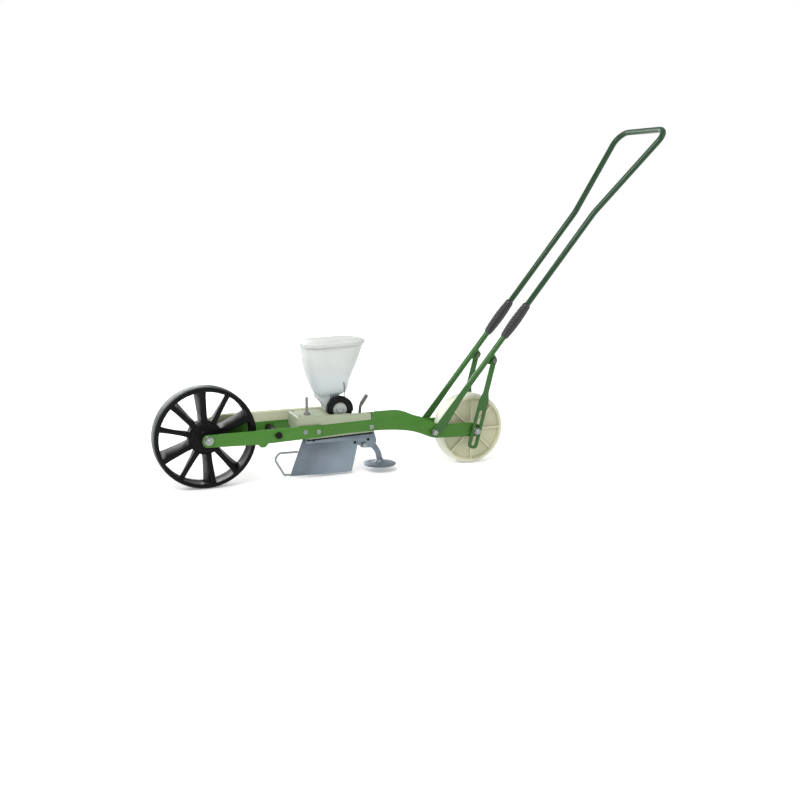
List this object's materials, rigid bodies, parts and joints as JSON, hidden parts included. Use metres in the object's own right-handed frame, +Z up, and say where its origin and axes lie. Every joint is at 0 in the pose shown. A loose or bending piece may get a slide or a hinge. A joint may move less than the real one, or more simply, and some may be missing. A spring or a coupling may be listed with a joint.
{
  "type": "push vegetable seeder",
  "caption": "Single-row push seeder with a spoked drive wheel, press wheel, seed hopper, opener boot, coverer and a tilting tube handle.",
  "frame": {"origin": "centre of the bounding box in X and Y, on the ground under the wheels", "axes": "+X the way it is pushed, +Y its left side, +Z up"},
  "size_m": [1.4664, 0.2436, 0.9582],
  "materials": {
    "wheel_black": "moulded black plastic, satin",
    "press_wheel": "milky cream plastic",
    "frame_green": "gloss green paint",
    "handle_green": "gloss dark green paint",
    "cream_plastic": "cream moulded plastic",
    "hopper_plastic": "milky translucent plastic",
    "grey_plastic": "grey moulded plastic",
    "black_plastic": "black moulded plastic",
    "opener_steel": "grey sheet steel",
    "zinc": "zinc plated",
    "grip_black": "textured black rubber"
  },
  "bodies": {
    "root": {"front_axle": "zinc", "rear_axle": "zinc", "front_cross_bolt": "black_plastic", "handle_pivot_bolt": "zinc", "side_rail_left": "frame_green", "side_rail_right": "frame_green", "front_arm_left": "frame_green", "front_arm_right": "frame_green", "seed_unit_base": "cream_plastic", "roller_housing": "grey_plastic", "roller_cap": "black_plastic", "chain_case": "cream_plastic", "hopper": "hopper_plastic", "hopper_catch_pin": "grey_plastic", "release_lever": "grey_plastic", "opener_channel": "opener_steel", "opener_boot": "opener_steel", "coverer_pivot_bolt": "zinc", "wire_guard": "opener_steel", "axle_nut_left": "zinc", "axle_nut_right": "zinc"},
    "front_wheel": {"front_wheel": "wheel_black"},
    "rear_wheel": {"rear_wheel": "press_wheel"},
    "seed_roller": {"seed_roller": "grey_plastic"},
    "hopper_lid": {"hopper_lid": "hopper_plastic"},
    "coverer": {"coverer": "opener_steel"},
    "handle": {"handle_arm_left": "handle_green", "handle_arm_right": "handle_green", "handle_bow": "handle_green", "handle_sleeve_left": "grip_black", "handle_sleeve_right": "grip_black", "brace_pin_left": "zinc", "brace_pin_right": "zinc"},
    "height_brace": {"height_brace_left": "handle_green", "height_brace_right": "handle_green"}
  },
  "joints": [
    {"name": "front_wheel_spin", "type": "hinge", "parent": "root", "child": "front_wheel", "pos_m": [0.59718, 0, 0.136], "axis": [0, 1, 0], "continuous": true},
    {"name": "rear_wheel_spin", "type": "hinge", "parent": "root", "child": "rear_wheel", "pos_m": [-0.16882, 0, 0.101], "axis": [0, 1, 0], "continuous": true},
    {"name": "seed_roller_spin", "type": "hinge", "parent": "root", "child": "seed_roller", "pos_m": [0.23118, 0, 0.186], "axis": [0, 1, 0], "continuous": true},
    {"name": "lid_hinge", "type": "hinge", "parent": "root", "child": "hopper_lid", "pos_m": [0.16022, 0, 0.37214], "axis": [0, -1, 0], "range_deg": [0, 110]},
    {"name": "coverer_swing", "type": "hinge", "parent": "root", "child": "coverer", "pos_m": [0.15718, 0, 0.08], "axis": [0, 1, 0], "range_deg": [0, 30]},
    {"name": "handle_tilt", "type": "hinge", "parent": "root", "child": "handle", "pos_m": [-0.03982, 0, 0.107], "axis": [0, 1, 0], "range_deg": [-31, 17]},
    {"name": "brace_swing", "type": "hinge", "parent": "handle", "child": "height_brace", "pos_m": [-0.21935, 0, 0.30128], "axis": [0, 1, 0], "range_deg": [-9, 5]}
  ],
  "couplings": [
    {"joint": "seed_roller_spin", "follows": "front_wheel_spin", "ratio": 1},
    {"joint": "brace_swing", "follows": "handle_tilt", "ratio": 0.26}
  ]
}
